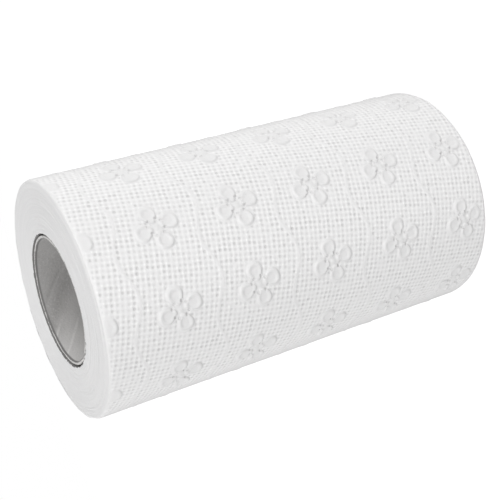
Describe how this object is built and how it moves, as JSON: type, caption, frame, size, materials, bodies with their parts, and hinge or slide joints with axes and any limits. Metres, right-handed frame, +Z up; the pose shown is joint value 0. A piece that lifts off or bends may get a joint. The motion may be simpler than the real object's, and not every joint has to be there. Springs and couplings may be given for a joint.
{
  "type": "paper towel roll",
  "caption": "Roll of soft white embossed paper towel wound on a grey cardboard core, standing on one end, with an open bore for a holder rod.",
  "frame": {"origin": "centre of the lower end, on the roll's axis, on the surface that the roll stands on", "axes": "+Z up along the roll's axis towards the end shown in the picture, -Y the front, +Y the side with the sheet's free edge"},
  "size_m": [0.1207, 0.1211, 0.22],
  "materials": {
    "paper": "matte embossed tissue",
    "core_board": "matte grey board"
  },
  "bodies": {
    "root": {"paper_roll": "paper", "core_tube": "core_board"}
  },
  "joints": []
}
